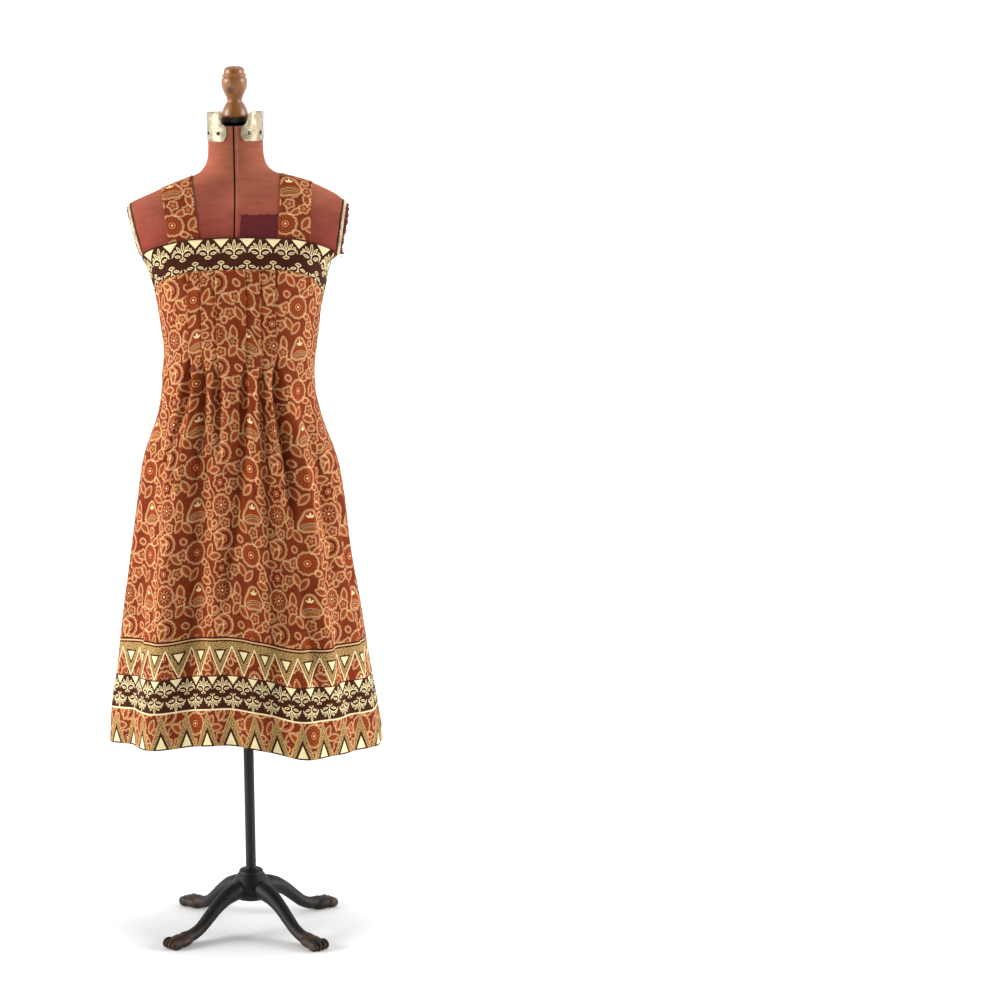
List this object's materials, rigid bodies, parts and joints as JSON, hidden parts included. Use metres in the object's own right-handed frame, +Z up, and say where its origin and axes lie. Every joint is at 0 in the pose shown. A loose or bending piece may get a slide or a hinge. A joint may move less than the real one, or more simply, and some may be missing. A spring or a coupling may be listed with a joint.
{
  "type": "shift dress on a dress form with an iron stand",
  "caption": "Sleeveless printed cotton shift dress with wide straps, a border-print top band and released tucks, worn by a limbless dress form on a four-legged cast stand.",
  "frame": {"origin": "on the floor, under the middle of the whole piece", "axes": "+Z up the pole, -Y the way the dress faces, +X the wearer's left"},
  "size_m": [0.4986, 0.4006, 1.59],
  "materials": {
    "printed_cotton": "matt plain-weave cotton, rust ground with a cream and tan flower print",
    "border_print": "matt plain-weave cotton, dark brown border print with cream sprigs",
    "form_jersey": "faded dusty rose jersey",
    "arm_board": "raw pulp board",
    "neck_plate": "worn nickel plate, slightly yellowed",
    "blackened_iron": "old black paint, satin",
    "finial_wood": "turned and varnished, honey coloured",
    "cast_iron": "dark painted casting, worn brown at the paws"
  },
  "bodies": {
    "root": {"front_panel": "printed_cotton", "back_panel": "printed_cotton", "band_front": "border_print", "band_back": "border_print", "strap_left": "printed_cotton", "strap_right": "printed_cotton", "form_torso": "form_jersey", "arm_board_left": "arm_board", "arm_board_right": "arm_board", "neck_plate_front_left": "neck_plate", "neck_plate_front_right": "neck_plate", "neck_plate_back_left": "neck_plate", "neck_plate_back_right": "neck_plate", "rivet_front_left_1": "neck_plate", "rivet_front_left_2": "neck_plate", "rivet_front_right_1": "neck_plate", "rivet_front_right_2": "neck_plate", "rivet_back_left_1": "neck_plate", "rivet_back_left_2": "neck_plate", "rivet_back_right_1": "neck_plate", "rivet_back_right_2": "neck_plate", "neck_boss": "blackened_iron", "finial": "finial_wood", "form_socket": "blackened_iron", "pole": "blackened_iron", "stand_base": "cast_iron"}
  },
  "joints": []
}
